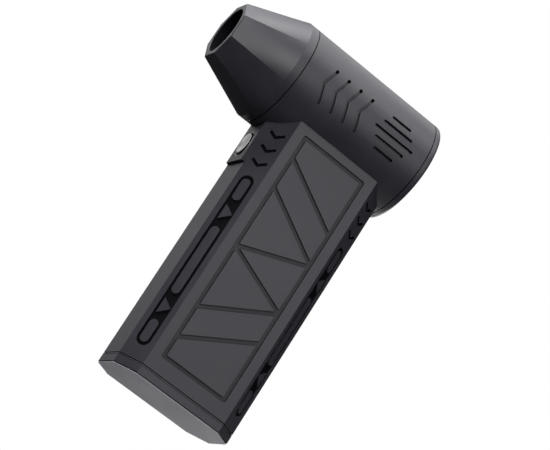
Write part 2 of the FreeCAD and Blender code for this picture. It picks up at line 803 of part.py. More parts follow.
# ---- leads ----
def battery_leads():
    """Two thick leads from the ends of the battery row to the control board."""
    radius = 0.9
    plus = lead([V(0.8, -cell_pitch, pack_top + 0.25), V(0.8, -cell_pitch, 100),
                 V(0.8, -14.0, 100)], radius)
    minus = lead([V(-12.3, cell_pitch, pack_bottom), V(-12.3, cell_pitch, 90),
                  V(-7.0, cell_pitch, 99), V(board_x0, cell_pitch, 99)], radius)
    return group([plus, minus])


def motor_leads():
    """Three leads from the motor through the neck to the control board."""
    wires = []
    for x in (-1.6, 0.0, 1.6):
        plug_x = x - 3.0
        points = [V(x, flange_front, axis_height - 6.0), V(x, lead_hole_y, axis_height - 6.0),
                  V(x, lead_hole_y, plug_height + 5.4), V(plug_x, lead_hole_y, plug_height),
                  V(plug_x, plug_front, plug_height)]
        wires.append(lead(points, 0.65))
    return group(wires)


def charge_leads():
    """Two leads from the charging board up beside the cells."""
    wires = []
    for y in (-3.0, 3.0):
        points = [V(7.4, y, charge_board_top), V(7.4, y, 14.5), V(12.6, y, 20.0), V(12.6, y, 90),
                  V(8.0, y, 97.0), V(board_x1, y, 97.0)]
        wires.append(lead(points, 0.7))
    return group(wires)


def switch_leads():
    wires = []
    back = switch_board_front + board_thickness
    for z in (106.6, 108.6):
        wires.append(lead([V(6, back, z), V(6, -10, z), V(board_x1, -10, z)], 0.45))
    return group(wires)


def lead_grommet():
    """Rubber sleeve where the motor leads pass through the neck."""
    sleeve = rod(lead_hole_radius - slip, V(0, lead_hole_y, axis_height - 28.0),
                 V(0, lead_hole_y, axis_height - 22.3))
    flange = rod(4.4, V(0, lead_hole_y, axis_height - 28.6), V(0, lead_hole_y, axis_height - 27.6))
    hole = rod(2.45, V(0, lead_hole_y, axis_height - 30), V(0, lead_hole_y, axis_height - 20))
    return fuse([sleeve, flange]).cut(hole)


def neck_screws():
    screws = []
    for y in neck_rows:
        for angle in neck_angles:
            one = screw(V(0, y, axis_height + bore_radius + 0.25), V(0, 0, 1), 1.05, 11.0, 2.0, 1.4)
            screws.append(turned(one, angle))
    return group(screws)


# ---- charging board and bottom ----
charge_board_low = 8.0
charge_board_top = charge_board_low + board_thickness
port_half_height = 1.6
port_half_width = 4.47
port_height = charge_board_top + port_half_height
charge_screw_places = [V(0, -14, 0), V(-5.8, 16, 0), V(5.8, 16, 0)]


def charge_board():
    board = box(-8, 8, -18, 27.4, charge_board_low, charge_board_top)
    return cut(board, [rod(0.95, p, p.add(V(0, 0, 20))) for p in charge_screw_places])


def charge_port():
    """Round-ended metal socket with a tongue in its middle, open towards +Y."""
    mouth = handle_half_depth - 0.4
    back = mouth - 7.3
    shell = port_opening(port_half_width, port_half_height, back, mouth)
    hollow = port_opening(port_half_width - 0.3, port_half_height - 0.3, back + 1.2, mouth + 1)
    tongue = box(-3.3, 3.3, back + 0.6, mouth - 1.2, port_height - 0.35, port_height + 0.35)
    return shell.cut(hollow).fuse(tongue)


def charge_parts():
    """Coil and chips on top of the charging board."""
    coil = box(-3.0, 3.0, -6, 0, charge_board_top, charge_board_top + 3.0)
    coil = coil.makeFillet(1.0, [e for e in coil.Edges if abs(e.Length - 3.0) < 0.01])
    chip = box(-6.5, -2.5, 4, 8, charge_board_top, charge_board_top + 0.9)
    second = box(1.0, 4.0, 5, 8, charge_board_top, charge_board_top + 0.9)
    return group([coil, chip, second])


def charge_board_screws():
    screws = []
    for place in charge_screw_places:
        seat = place.add(V(0, 0, charge_board_top))
        screws.append(screw(seat, V(0, 0, -1), 0.85, 4.6, 1.6, 1.1))
    return group(screws)


plate_high = 1.8
cap_floor_top = housing_bottom + seam_width
cap_line = (3.9, 4.1)
cap_line_depth = 0.2


def bottom_cap():
    lip_inset = handle_wall + 0.1
    line = section(-1, *cap_line).cut(section(cap_line_depth, *cap_line))
    skirt = section(0, cap_low, cap_height).cut(line)
    shoulder = section(seam_depth, cap_height, housing_bottom)
    floor = section(lip_inset, housing_bottom, cap_floor_top)
    lip = section(lip_inset, cap_floor_top, 7.6).cut(section(lip_inset + 1.5, 5, 8))
    standoffs = [rod(2.2, p.add(V(0, 0, cap_floor_top)), p.add(V(0, 0, charge_board_low)))
                 for p in charge_screw_places]
    post_room = four_corners(rod(3.2, V(screw_post.x, screw_post.y, cap_floor_top),
                                 V(screw_post.x, screw_post.y, 9)))
    body = fuse([skirt, shoulder, floor, lip.cut(Part.makeCompound(post_room))] + standoffs)
    tools = [section(1.3, 0, plate_high)]
    tools += four_corners(rod(2.3, V(screw_post.x, screw_post.y, 1), V(screw_post.x, screw_post.y, 3.5)))
    tools += four_corners(rod(1.05, V(screw_post.x, screw_post.y, 1), V(screw_post.x, screw_post.y, 8)))
    tools += [rod(0.87, p.add(V(0, 0, 4.2)), p.add(V(0, 0, 9))) for p in charge_screw_places]
    return cut(body, tools)


def bottom_cap_screws():
    seat = V(screw_post.x, screw_post.y, 3.5)
    return group(four_corners(screw(seat, V(0, 0, 1), 0.93, 10.5, 2.1, 1.5)))


def base_plate():
    """Flat cover under the cap that hides its screws, with a thin dark gap above its edge."""
    return section(0.2, 0, plate_flange).fuse(section(1.35, plate_flange, plate_high))


builders = [nozzle, nozzle_seal, barrel_housing, rear_ring, intake_grille, dust_mesh, filter_clip,
            motor_frame, intake_shroud, impeller, impeller_nut, motor_shaft, rotor_magnet,
            bearing_outer_rings, bearing_inner_rings, bearing_balls, stator_core, stator_windings,
            motor_end_cap, motor_screws, tail_cone, handle_housing, grip_inlays, button_ring,
            power_button, button_disc, tact_plunger, tact_switch, switch_plate, switch_board,
            switch_board_screws, control_board, control_board_screws, power_transistors,
            control_chip, motor_plug, power_capacitors, battery_tray_bottom, battery_tray_top,
            nickel_strips, foam_pads, battery_leads, motor_leads, charge_leads, switch_leads,
            lead_grommet, neck_screws, charge_board, charge_port, charge_parts,
            charge_board_screws, bottom_cap, bottom_cap_screws, base_plate]

for build in builders:
    nodes[build.__name__] = build()
nodes["front_rubber_ring"] = rubber_ring(-12.0)
nodes["rear_rubber_ring"] = rubber_ring(11.0)
for number, row in enumerate(cell_rows, 1):
    nodes["battery_cell_%d" % number] = battery_cell(row, number == 2)

for name, shape in nodes.items():
    shape.exportStep("parts/%s.step" % name)
    report = (name, len(shape.Solids), shape.Volume, shape.isValid())
    print("%-24s solids %2d  volume %9.1f  valid %s" % report)
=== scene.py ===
import json
import math
import bpy
from mathutils import Matrix, Vector


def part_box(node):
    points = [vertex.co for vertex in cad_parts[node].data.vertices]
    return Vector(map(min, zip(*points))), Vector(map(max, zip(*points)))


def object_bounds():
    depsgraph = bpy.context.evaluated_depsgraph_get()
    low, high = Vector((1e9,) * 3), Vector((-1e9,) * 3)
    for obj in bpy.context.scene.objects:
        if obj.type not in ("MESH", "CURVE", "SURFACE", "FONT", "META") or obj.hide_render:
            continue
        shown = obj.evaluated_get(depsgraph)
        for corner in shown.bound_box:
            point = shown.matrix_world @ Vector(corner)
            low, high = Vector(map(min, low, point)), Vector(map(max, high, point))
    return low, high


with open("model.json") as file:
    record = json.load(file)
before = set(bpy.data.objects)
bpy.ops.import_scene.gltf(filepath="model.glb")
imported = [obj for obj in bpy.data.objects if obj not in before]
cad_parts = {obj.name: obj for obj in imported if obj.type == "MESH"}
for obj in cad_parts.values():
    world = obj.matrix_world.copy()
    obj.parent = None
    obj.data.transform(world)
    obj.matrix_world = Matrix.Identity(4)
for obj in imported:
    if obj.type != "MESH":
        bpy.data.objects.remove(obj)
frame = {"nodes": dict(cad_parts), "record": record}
cad_low, cad_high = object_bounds()
cad_nodes = frame["nodes"]

# All lengths are in metres, in the CAD frame: +Z is up the handle, the nozzle points to -Y.
barrel_low, barrel_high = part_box("barrel_housing")
handle_low, handle_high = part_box("handle_housing")
disc_low, disc_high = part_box("button_disc")
middle_cell_low, middle_cell_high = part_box("battery_cell_2")
OBJECT_CENTRE = (cad_low + cad_high) / 2
AXIS_POINT = (0, 0, (barrel_low.z + barrel_high.z) / 2)
BUTTON_CENTRE = tuple((disc_low + disc_high) / 2)
HALF_WIDTH = (handle_high.x - handle_low.x) / 2
CELL_GAP = 0.0001
CELL_PITCH = middle_cell_high.y - middle_cell_low.y + CELL_GAP


# ---- node helpers ----
NOISE_SPAN = (0.3, 0.7)
# The mix node has sockets of the same names for other types, so its colours go by number.
MIX_FIRST = 6
MIX_SECOND = 7
MIX_RESULT = 2
BEVEL_SAMPLES = 6
# Painted shade in crevices: its samples, its reach on most plastic, and its shorter reach in the
# barrel's slots.
CREVICE_SHADE_SAMPLES = 8
CREVICE_SHADE_REACH = 0.0016
SLOT_SHADE_REACH = 0.0009

# Floors sunk by more than this below the handle's flat sides count as sunk, if the cosine of the
# angle between their normal and X is over the second value.
SUNK_BY = 0.0003
SIDEWAYS = 0.95
# Walls of the air way lie at least this far from the barrel axis. The mouth's bevel, which turns
# away from the axis, stays below it when its distance is measured along its own normal.
AIR_WALL = 0.0092


def add(tree, kind, inputs=None, **settings):
    """New node; what is given for an input is either a plain value or another node's output."""
    node = tree.nodes.new(kind)
    for key, value in settings.items():
        setattr(node, key, value)
    for key, value in (inputs or {}).items():
        if isinstance(value, bpy.types.NodeSocket):
            tree.links.new(value, node.inputs[key])
        else:
            node.inputs[key].default_value = value
    return node


def new_material(name):
    material = bpy.data.materials.new(name)
    material.use_nodes = True
    material.node_tree.nodes.clear()
    return material, material.node_tree


def math_node(tree, operation, first, second=0.0, clamp=False):
    node = add(tree, "ShaderNodeMath", {0: first, 1: second}, operation=operation)
    node.use_clamp = clamp
    return node.outputs[0]


def times(tree, first, second):
    return math_node(tree, "MULTIPLY", first, second)


def vector_node(tree, operation, first, second=(0, 0, 0)):
    """A vector from two others, or one number for a dot product or a length."""
    node = add(tree, "ShaderNodeVectorMath", {0: first, 1: second}, operation=operation)
    gives_number = operation in ("DOT_PRODUCT", "LENGTH")
    return node.outputs["Value" if gives_number else "Vector"]


def part_along(tree, vector, axis):
    """The X, Y or Z of a vector."""
    return add(tree, "ShaderNodeSeparateXYZ", {0: vector}).outputs[axis]


def joined(tree, **parts):
    """Vector from the parts given as X, Y or Z; the others are 0."""
    return add(tree, "ShaderNodeCombineXYZ", parts).outputs[0]


def ramp(tree, value, low, high, out_low, out_high):
    """Linear map of a value from one range to another, held at the ends."""
    node = add(tree, "ShaderNodeMapRange", {"Value": value, "From Min": low, "From Max": high,
                                            "To Min": out_low, "To Max": out_high})
    return node.outputs["Result"]


def share(tree, value, start, full, most=1.0):
    """Share that rises from 0 where a value is at start to the most where it is at full."""
    return ramp(tree, value, start, full, 0.0, most)


def spread(tree, pattern, low, high):
    """Noise, most of which lies within NOISE_SPAN, mapped to the range from low to high."""
    return ramp(tree, pattern, *NOISE_SPAN, low, high)


def mix_colour(tree, part, first, second):
    """First colour where part is 0, second where it is 1."""
    node = add(tree, "ShaderNodeMix", {"Factor": part}, data_type="RGBA")
    for number, value in ((MIX_FIRST, first), (MIX_SECOND, second)):
        socket = node.inputs[number]
        if isinstance(value, bpy.types.NodeSocket):
            tree.links.new(value, socket)
        else:
            socket.default_value = (*value, 1)
    return node.outputs[MIX_RESULT]


def scaled(colour, factor):
    return tuple(c * factor for c in colour)


def place(tree):
    """Position on the object, in the CAD frame."""
    return add(tree, "ShaderNodeTexCoord").outputs["Object"]


def face_normal(tree):
    return add(tree, "ShaderNodeNewGeometry").outputs["True Normal"]


def noise(tree, where, size, detail=2.0, roughness=0.5):
    """Noise with features of the given size."""
    node = add(tree, "ShaderNodeTexNoise", {"Vector": where, "Scale": 1 / size, "Detail": detail,
                                            "Roughness": roughness})
    return node.outputs["Fac"]


def line_noise(tree, along, size, detail=2.0):
    """Noise that changes along one value only, as fine parallel or concentric marks."""
    return noise(tree, joined(tree, X=along), size, detail)


def stretched(tree, where, scale):
    return add(tree, "ShaderNodeMapping", {"Vector": where, "Scale": scale}).outputs[0]


def rounded_normal(tree, radius):
    return add(tree, "ShaderNodeBevel", {"Radius": radius}, samples=BEVEL_SAMPLES).outputs[0]


def bumped(tree, height, strength, depth, normal=None):
    """Normal tilted by a pattern of heights, which is depth deep."""
    inputs = {"Height": height, "Strength": strength, "Distance": depth}
    if normal:
        inputs["Normal"] = normal
    return add(tree, "ShaderNodeBump", inputs).outputs[0]


def surface(tree, colour, roughness, normal, others=None):
    """Principled shader, joined to the material's output; others are its further inputs."""
    inputs = {"Base Color": colour, "Roughness": roughness, "Normal": normal}
    shader = add(tree, "ShaderNodeBsdfPrincipled", {**inputs, **(others or {})})
    add(tree, "ShaderNodeOutputMaterial", {"Surface": shader.outputs[0]})


# ---- masks and places on the object ----
def from_line(tree, where, centre):
    """Vector to a place from the nearest point of the line along Y through a centre."""
    offset = vector_node(tree, "SUBTRACT", where, centre)
    return vector_node(tree, "MULTIPLY", offset, (1, 0, 1))


def axis_radius(tree, where):
    """Distance from the barrel axis, which runs along Y."""
    return vector_node(tree, "LENGTH", from_line(tree, where, AXIS_POINT))


def crevice_light_share(tree, reach):
    """Share of light kept by the painted shade: 1 on open surfaces, falling to 0 in grooves,
    slots and seams narrower than the reach.
    """
    node = add(tree, "ShaderNodeAmbientOcclusion", {"Distance": reach}, samples=CREVICE_SHADE_SAMPLES)
    return share(tree, node.outputs["AO"], start=0.4, full=0.92)


def edge_mask(tree, soft_normal):
    """1 on sharp edges and 0 on flat or gently curved surfaces."""
    plain_normal = add(tree, "ShaderNodeNewGeometry").outputs["Normal"]
    agreement = vector_node(tree, "DOT_PRODUCT", soft_normal, plain_normal)
    return share(tree, agreement, start=0.995, full=0.90)


def sunk_mask(tree, where):
    """1 on floors sunk below the handle's flat sides."""
    out = math_node(tree, "ABSOLUTE", part_along(tree, where, "X"))
    below = math_node(tree, "LESS_THAN", out, HALF_WIDTH - SUNK_BY)
    facing = math_node(tree, "ABSOLUTE", part_along(tree, face_normal(tree), "X"))
    return times(tree, below, math_node(tree, "GREATER_THAN", facing, SIDEWAYS))


def bore_shade_mask(tree, where):
    """1 on the walls of the air way, which face the barrel axis, but not on its bevelled rim;
    painted shade goes there.
    """
    outward = vector_node(tree, "DOT_PRODUCT", from_line(tree, where, AXIS_POINT),
                          face_normal(tree))
    return math_node(tree, "LESS_THAN", outward, -AIR_WALL)


# ---- tool marks, which metal() takes ----
def turned_marks(size):
    """Concentric marks about the barrel axis."""
    return lambda tree, where: line_noise(tree, axis_radius(tree, where), size)


def brushed_marks(scale, size):
    """Straight marks, fine across and long in the directions that scale shrinks."""
    return lambda tree, where: noise(tree, stretched(tree, where, scale), size, detail=3.0)


def grain_marks(size):
    return lambda tree, where: noise(tree, where, size, detail=3.0, roughness=0.6)


def stripes(tree, along, pitch):
    """Triangle wave between 0 and 1, which repeats after each pitch."""
    return share(tree, math_node(tree, "PINGPONG", along, pitch / 2), start=0.0, full=pitch / 2)


def sheet_marks(pitch):
    """Edges of sheets stacked along Y."""
    return lambda tree, where: stripes(tree, part_along(tree, where, "Y"), pitch)


# ---- colours ----
BODY = (0.0320, 0.0300, 0.0398)
ALUMINIUM = (0.72, 0.72, 0.74)
STEEL = (0.52, 0.52, 0.53)
GROUND_STEEL = (0.60, 0.60, 0.60)
BLACK_ANODISED = (0.020, 0.020, 0.022)
COPPER_GAP_SHADE = (0.16, 0.035, 0.008)
COPPER = (0.62, 0.24, 0.08)
BROWN_ENAMEL = (0.35, 0.11, 0.03)
LACQUER = (0.004, 0.055, 0.018)
LACQUERED_TRACK = (0.010, 0.120, 0.040)
TIN = (0.62, 0.60, 0.54)
SLEEVE_DARK = (0.012, 0.075, 0.21)
SLEEVE_LIGHT = (0.020, 0.110, 0.29)
CELL_STEEL = (0.55, 0.54, 0.52)
BLACK_LEAD = (0.01, 0.01, 0.01)
RED_LEAD = (0.42, 0.012, 0.012)
YELLOW_LEAD = (0.45, 0.27, 0.01)
BLUE_LEAD = (0.02, 0.06, 0.35)
SMUDGE = (0.02, 0.02, 0.02)


# ---- finishes ----
# Moulded plastic: sizes of its patterns, and how much they change tone and gloss.
GRAIN_SIZE = 0.00035
GRAIN_DEPTH = 0.000004
GRAIN_TONE = 1.9
GRAIN_GLOSS = 0.03
PATCH_SIZE = 0.018
PATCH_GLOSS = 0.035
CHIP_SIZE = 0.0012
EDGE_WEAR = 0.22
EDGE_TONE = 2.2
EDGE_GLOSS = 0.08
# Darkest tone of the painted shade in crevices, as a share of the colour.
CREVICE_SHADE_TONE = 0.25

METAL_EDGE_GLOSS = 0.1
DUST_TONE = 0.012
CELLS_PER_METRE = 1800.0
WIRE_PITCH = 0.00034
# The battery cells' steel ends: their radius, and the least cosine of their normal with Z.
STEEL_END_RADIUS = 0.0065
FACES_END = 0.5


def moulded(name, colour, roughness, tint=0.10, specular=0.5, reach=CREVICE_SHADE_REACH,
            edge_radius=0.00009, mask=None, masked_tone=1.0):
    """Moulded plastic: spark-eroded grain, slow changes of gloss and tone, edges rubbed lighter
    and smoother, and painted shade in crevices, darker and with less sheen. In the mask,
    masked_tone scales the tone and the sheen."""
    material, tree = new_material(name)
    where = place(tree)
    soft = rounded_normal(tree, edge_radius)
    fine = noise(tree, where, GRAIN_SIZE, detail=3.0, roughness=0.6)
    slow = noise(tree, where, PATCH_SIZE, detail=3.0, roughness=0.55)
    chips = noise(tree, where, CHIP_SIZE, detail=4.0, roughness=0.7)
    unshaded_share = crevice_light_share(tree, reach)
    edges = times(tree, edge_mask(tree, soft), spread(tree, chips, low=0.4, high=1.0))
    edges = times(tree, edges, unshaded_share)
    tone = mix_colour(tree, spread(tree, slow, low=0.0, high=1.0), scaled(colour, 1 - tint),
                      scaled(colour, 1 + tint))
    tone = mix_colour(tree, share(tree, fine, start=0.35, full=0.65, most=0.12), tone,
                      scaled(colour, GRAIN_TONE))
    tone = mix_colour(tree, times(tree, edges, EDGE_WEAR), tone, scaled(colour, EDGE_TONE))
    # Painted shade: the tone darkens in crevices, and the sheen below falls with it.
    tone = mix_colour(tree, unshaded_share, scaled(colour, CREVICE_SHADE_TONE), tone)
    sheen = times(tree, unshaded_share, specular)
    if mask:
        masked = mask(tree, where)
        tone = mix_colour(tree, masked, tone, scaled(colour, masked_tone))
        kept = ramp(tree, masked, low=0.0, high=1.0, out_low=1.0, out_high=masked_tone)
        sheen = times(tree, sheen, kept)
    gloss = spread(tree, slow, roughness - PATCH_GLOSS, roughness + PATCH_GLOSS)
    gloss = math_node(tree, "ADD", gloss, spread(tree, fine, -GRAIN_GLOSS, GRAIN_GLOSS))
    gloss = math_node(tree, "SUBTRACT", gloss, times(tree, edges, EDGE_GLOSS), clamp=True)
    normal = bumped(tree, fine, strength=0.5, depth=GRAIN_DEPTH, normal=soft)
    surface(tree, tone, gloss, normal, {"Specular IOR Level": sheen})
    return material


def metal(name, colour, roughness, marks, relief=0.000002, edge_radius=None):
    """Bare metal: tool marks given by marks(tree, where), slow tarnish and small dark specks,
    with smoother, rounded edges if an edge radius is given."""
    material, tree = new_material(name)
    where = place(tree)
    lines = marks(tree, where)
    slow = noise(tree, where, size=0.006, detail=4.0, roughness=0.6)
    dots = noise(tree, where, size=0.0007, detail=3.0, roughness=0.7)
    tarnish = share(tree, slow, start=0.35, full=0.7, most=0.25)
    specks = share(tree, dots, start=0.62, full=0.75, most=0.4)
    tone = mix_colour(tree, tarnish, colour, scaled(colour, 0.6))
    tone = mix_colour(tree, spread(tree, lines, low=0.0, high=0.22), tone, scaled(colour, 0.7))
    tone = mix_colour(tree, specks, tone, scaled(colour, 0.55))
    gloss = math_node(tree, "ADD", spread(tree, slow, roughness - 0.04, roughness + 0.06),
                      spread(tree, lines, low=-0.05, high=0.05))
    soft = None
    if edge_radius:
        soft = rounded_normal(tree, edge_radius)
        polish = times(tree, edge_mask(tree, soft), METAL_EDGE_GLOSS)
        gloss = math_node(tree, "SUBTRACT", gloss, polish)
    normal = bumped(tree, lines, strength=0.6, depth=relief, normal=soft)
    surface(tree, tone, gloss, normal, {"Metallic": 1.0})
    return material


def disc_metal(name, colour, roughness):
    """Button disc with concentric brushing, which gives light and dark fans, and a soft rim."""
    material, tree = new_material(name)
    where = place(tree)
    out = from_line(tree, where, BUTTON_CENTRE)
    tangent = vector_node(tree, "CROSS_PRODUCT", out, (0, 1, 0))
    rings = line_noise(tree, vector_node(tree, "LENGTH", out), size=0.00012, detail=4.0)
    slow = noise(tree, where, size=0.004, detail=3.0)
    dull = share(tree, slow, start=0.4, full=0.7, most=0.2)
    tone = mix_colour(tree, spread(tree, rings, low=0.0, high=0.5), colour, scaled(colour, 0.72))
    tone = mix_colour(tree, dull, tone, scaled(colour, 0.8))
    gloss = spread(tree, rings, roughness - 0.05, roughness + 0.05)
    soft = rounded_normal(tree, radius=0.00012)
    normal = bumped(tree, rings, strength=0.5, depth=0.000002, normal=soft)
    surface(tree, tone, gloss, normal, {"Metallic": 1.0, "Anisotropic": 0.7, "Tangent": tangent})
    return material


def rubber(name, colour, roughness=0.62, dust=0.25, specular=0.5):
    """Matt soft plastic: fine pores, pale dust in patches and no worn edges."""
    material, tree = new_material(name)
    where = place(tree)
    pores = noise(tree, where, size=0.00025, detail=4.0, roughness=0.65)
    patches = noise(tree, where, size=0.007, detail=4.0, roughness=0.6)
    pale = share(tree, pores, start=0.35, full=0.7, most=0.3)
    dusty = share(tree, patches, start=0.5, full=0.8, most=dust)
    tone = mix_colour(tree, pale, colour, scaled(colour, 1.8))
    tone = mix_colour(tree, dusty, tone, tuple(c + DUST_TONE for c in colour))
    gloss = spread(tree, patches, roughness - 0.05, roughness + 0.08)
    normal = bumped(tree, pores, strength=0.6, depth=0.00001)
    surface(tree, tone, gloss, normal, {"Specular IOR Level": specular})
    return material


def foam_block(name, colour):
    """Closed-cell foam: small round cells, darker in their hollows as painted shade and with pale
    rims as painted highlight.
    """
    material, tree = new_material(name)
    foam = add(tree, "ShaderNodeTexVoronoi", {"Vector": place(tree), "Scale": CELLS_PER_METRE})
    cells = foam.outputs["Distance"]
    rims = share(tree, cells, start=0.2, full=0.8)
    tone = mix_colour(tree, rims, scaled(colour, 0.6), scaled(colour, 1.7))
    gloss = ramp(tree, cells, low=0.0, high=1.0, out_low=0.95, out_high=0.8)
    surface(tree, tone, gloss, bumped(tree, cells, strength=0.8, depth=0.0001))
    return material


def wire_sleeve(name, first, second, axis, limit):
    """Lead insulation: second colour where the position along an axis is above the limit."""
    material, tree = new_material(name)
    where = place(tree)
    side = math_node(tree, "GREATER_THAN", part_along(tree, where, axis), limit)
    smudge = noise(tree, where, size=0.003, detail=4.0, roughness=0.6)
    ripple = noise(tree, where, size=0.0004, detail=3.0)
    dirty = share(tree, smudge, start=0.45, full=0.75, most=0.35)
    tone = mix_colour(tree, dirty, mix_colour(tree, side, first, second), SMUDGE)
    gloss = spread(tree, smudge, low=0.38, high=0.5)
    surface(tree, tone, gloss, bumped(tree, ripple, strength=0.4, depth=0.00001))
    return material


def winding_wire(name):
    """Enamelled copper wire laid in close turns, one row over another. The gaps between turns
    are darker: painted shade.
    """
    material, tree = new_material(name)
    where = place(tree)
    height = stripes(tree, axis_radius(tree, where), WIRE_PITCH)
    slow = noise(tree, where, size=0.002, detail=3.0)
    browned = share(tree, slow, start=0.4, full=0.7, most=0.4)
    tone = mix_colour(tree, browned, mix_colour(tree, height, COPPER_GAP_SHADE, COPPER), BROWN_ENAMEL)
    gloss = spread(tree, slow, low=0.2, high=0.32)
    normal = bumped(tree, height, strength=1.0, depth=0.00012)
    surface(tree, tone, gloss, normal, {"Metallic": 0.9, "Coat Weight": 0.6})
    return material


def circuit(name):
    """Green lacquered board with fine tracks under the lacquer and bare tinned pads."""
    material, tree = new_material(name)
    where = place(tree)
    skewed = math_node(tree, "ADD", part_along(tree, where, "X"), part_along(tree, where, "Z"))
    flat = joined(tree, X=part_along(tree, where, "Y"), Y=skewed)
    bricks = add(tree, "ShaderNodeTexBrick",
                 {"Vector": flat, "Scale": 300.0, "Mortar Size": 0.035, "Mortar Smooth": 0.3,
                  "Brick Width": 1.7, "Row Height": 0.55}, offset=0.37)
    spots = add(tree, "ShaderNodeTexVoronoi", {"Vector": flat, "Scale": 420.0, "Randomness": 0.6},
                distance="CHEBYCHEV")
    tracks = bricks.outputs["Fac"]
    pads = ramp(tree, spots.outputs["Distance"], low=0.14, high=0.17, out_low=1.0, out_high=0.0)
    tone = mix_colour(tree, pads, mix_colour(tree, tracks, LACQUER, LACQUERED_TRACK), TIN)
    gloss = spread(tree, noise(tree, where, size=0.004), low=0.22, high=0.34)
    height = math_node(tree, "MAXIMUM", tracks, pads)
    normal = bumped(tree, height, strength=0.6, depth=0.00003)
    surface(tree, tone, gloss, normal, {"Metallic": pads})
    return material


def cell_sleeve(name):
    """Blue shrink sleeve with faint wrinkles; the steel ends show in the middle."""
    material, tree = new_material(name)
    where = place(tree)
    across = add(tree, "ShaderNodeMath", {0: part_along(tree, where, "Y"), 1: CELL_PITCH / 2,
                                          2: -CELL_PITCH / 2}, operation="WRAP").outputs[0]
    from_own_axis = joined(tree, X=part_along(tree, where, "X"), Y=across)
    radius = vector_node(tree, "LENGTH", from_own_axis)
    upright = math_node(tree, "ABSOLUTE", part_along(tree, face_normal(tree), "Z"))
    steel = times(tree, math_node(tree, "LESS_THAN", radius, STEEL_END_RADIUS),
                  math_node(tree, "GREATER_THAN", upright, FACES_END))
    creases = noise(tree, stretched(tree, where, (1.0, 1.0, 0.25)), size=0.003, detail=4.0,
                    roughness=0.55)
    blue = mix_colour(tree, spread(tree, creases, low=0.0, high=1.0), SLEEVE_DARK, SLEEVE_LIGHT)
    tone = mix_colour(tree, steel, blue, CELL_STEEL)
    gloss = spread(tree, creases, low=0.24, high=0.36)
    normal = bumped(tree, creases, strength=0.5, depth=0.0001)
    surface(tree, tone, gloss, normal, {"Metallic": steel})
    return material


# ---- finishes by material slot ----
# Leads are of one colour up to these places along X or Y, and of another past them.
BATTERY_LEADS_SPLIT = -0.005
MOTOR_LEADS_SPLIT = 0.0005
CHARGE_LEADS_SPLIT = 0.0

# Scales for marks: a small one draws them out along its axis, a large one packs them.
LONG_IN_X = (0.05, 1.0, 1.0)
LONG_IN_Y = (1.0, 0.05, 1.0)
LONG_IN_Z = (1.0, 1.0, 0.05)
ROUND_THE_SHAFT = (1.0, 8.0, 1.0)

BODY_ROUGHNESS = 0.42

finishes = {
    "body_plastic": moulded("body_plastic", BODY, BODY_ROUGHNESS),
    "base_plate": moulded("base_plate_plastic", (0.540, 0.524, 0.572), 0.36, tint=0.06),
    # The grip inlays are near black with almost no sheen: painted shade standing for the deep
    # shade of the recesses they fill.
    "grip_rubber": rubber("grip_rubber", (0.0022, 0.0020, 0.0030), 0.7, dust=0.05,
                          specular=0.08),
    "button_metal": disc_metal("button_metal", (0.53, 0.53, 0.535), 0.34),
    "button_chrome": metal("button_chrome", (0.80, 0.80, 0.82), 0.16, turned_marks(0.0002),
                           edge_radius=0.0001),
    # The button's body is near black with almost no sheen, so its side wall below the disc shows
    # as black as a shadow gap: painted shade.
    "button_plastic": moulded("button_plastic", (0.002, 0.002, 0.0022), 0.5, specular=0.08),
    "guard_plastic": moulded("guard_plastic", (0.024, 0.023, 0.027), 0.44),
    "mesh_steel": metal("mesh_steel", STEEL, 0.34, brushed_marks(LONG_IN_Z, 0.0004)),
    "seal_rubber": rubber("seal_rubber", (0.008, 0.008, 0.009)),
    "fan_frame": metal("fan_frame", BLACK_ANODISED, 0.42, turned_marks(0.00025)),
    "fan_plastic": moulded("fan_plastic", (0.012, 0.012, 0.013), 0.5),
    "impeller_metal": metal("impeller_metal", ALUMINIUM, 0.3, turned_marks(0.0003)),
    "shaft_steel": metal("shaft_steel", GROUND_STEEL, 0.2, brushed_marks(ROUND_THE_SHAFT, 0.002)),
    "magnet": metal("magnet_plating", (0.42, 0.42, 0.43), 0.3, grain_marks(0.0005)),
    "core_steel": metal("core_steel", (0.36, 0.36, 0.37), 0.45, sheet_marks(0.00035),
                        relief=0.00003),
    "copper": winding_wire("copper"),
    "screw_steel": metal("screw_steel", (0.50, 0.50, 0.52), 0.28, grain_marks(0.0003)),
    "inner_plastic": moulded("inner_plastic", (0.016, 0.016, 0.018), 0.5),
    "plug_plastic": moulded("plug_plastic", (0.70, 0.68, 0.60), 0.4, tint=0.04),
    "circuit_board": circuit("circuit_board"),
    "chip_black": moulded("chip_black", (0.012, 0.012, 0.013), 0.55),
    "capacitor_can": metal("capacitor_can", ALUMINIUM, 0.26, brushed_marks(LONG_IN_X, 0.0003)),
    "cell_wrap": cell_sleeve("cell_wrap"),
    "nickel": metal("nickel", (0.60, 0.58, 0.52), 0.3, brushed_marks(LONG_IN_Y, 0.0003)),
    "foam": foam_block("foam", (0.03, 0.03, 0.03)),
    "lead_rubber": wire_sleeve("lead_rubber", BLACK_LEAD, RED_LEAD, "X", BATTERY_LEADS_SPLIT),
    "port_steel": metal("port_steel", STEEL, 0.25, brushed_marks(LONG_IN_Y, 0.0003)),
}

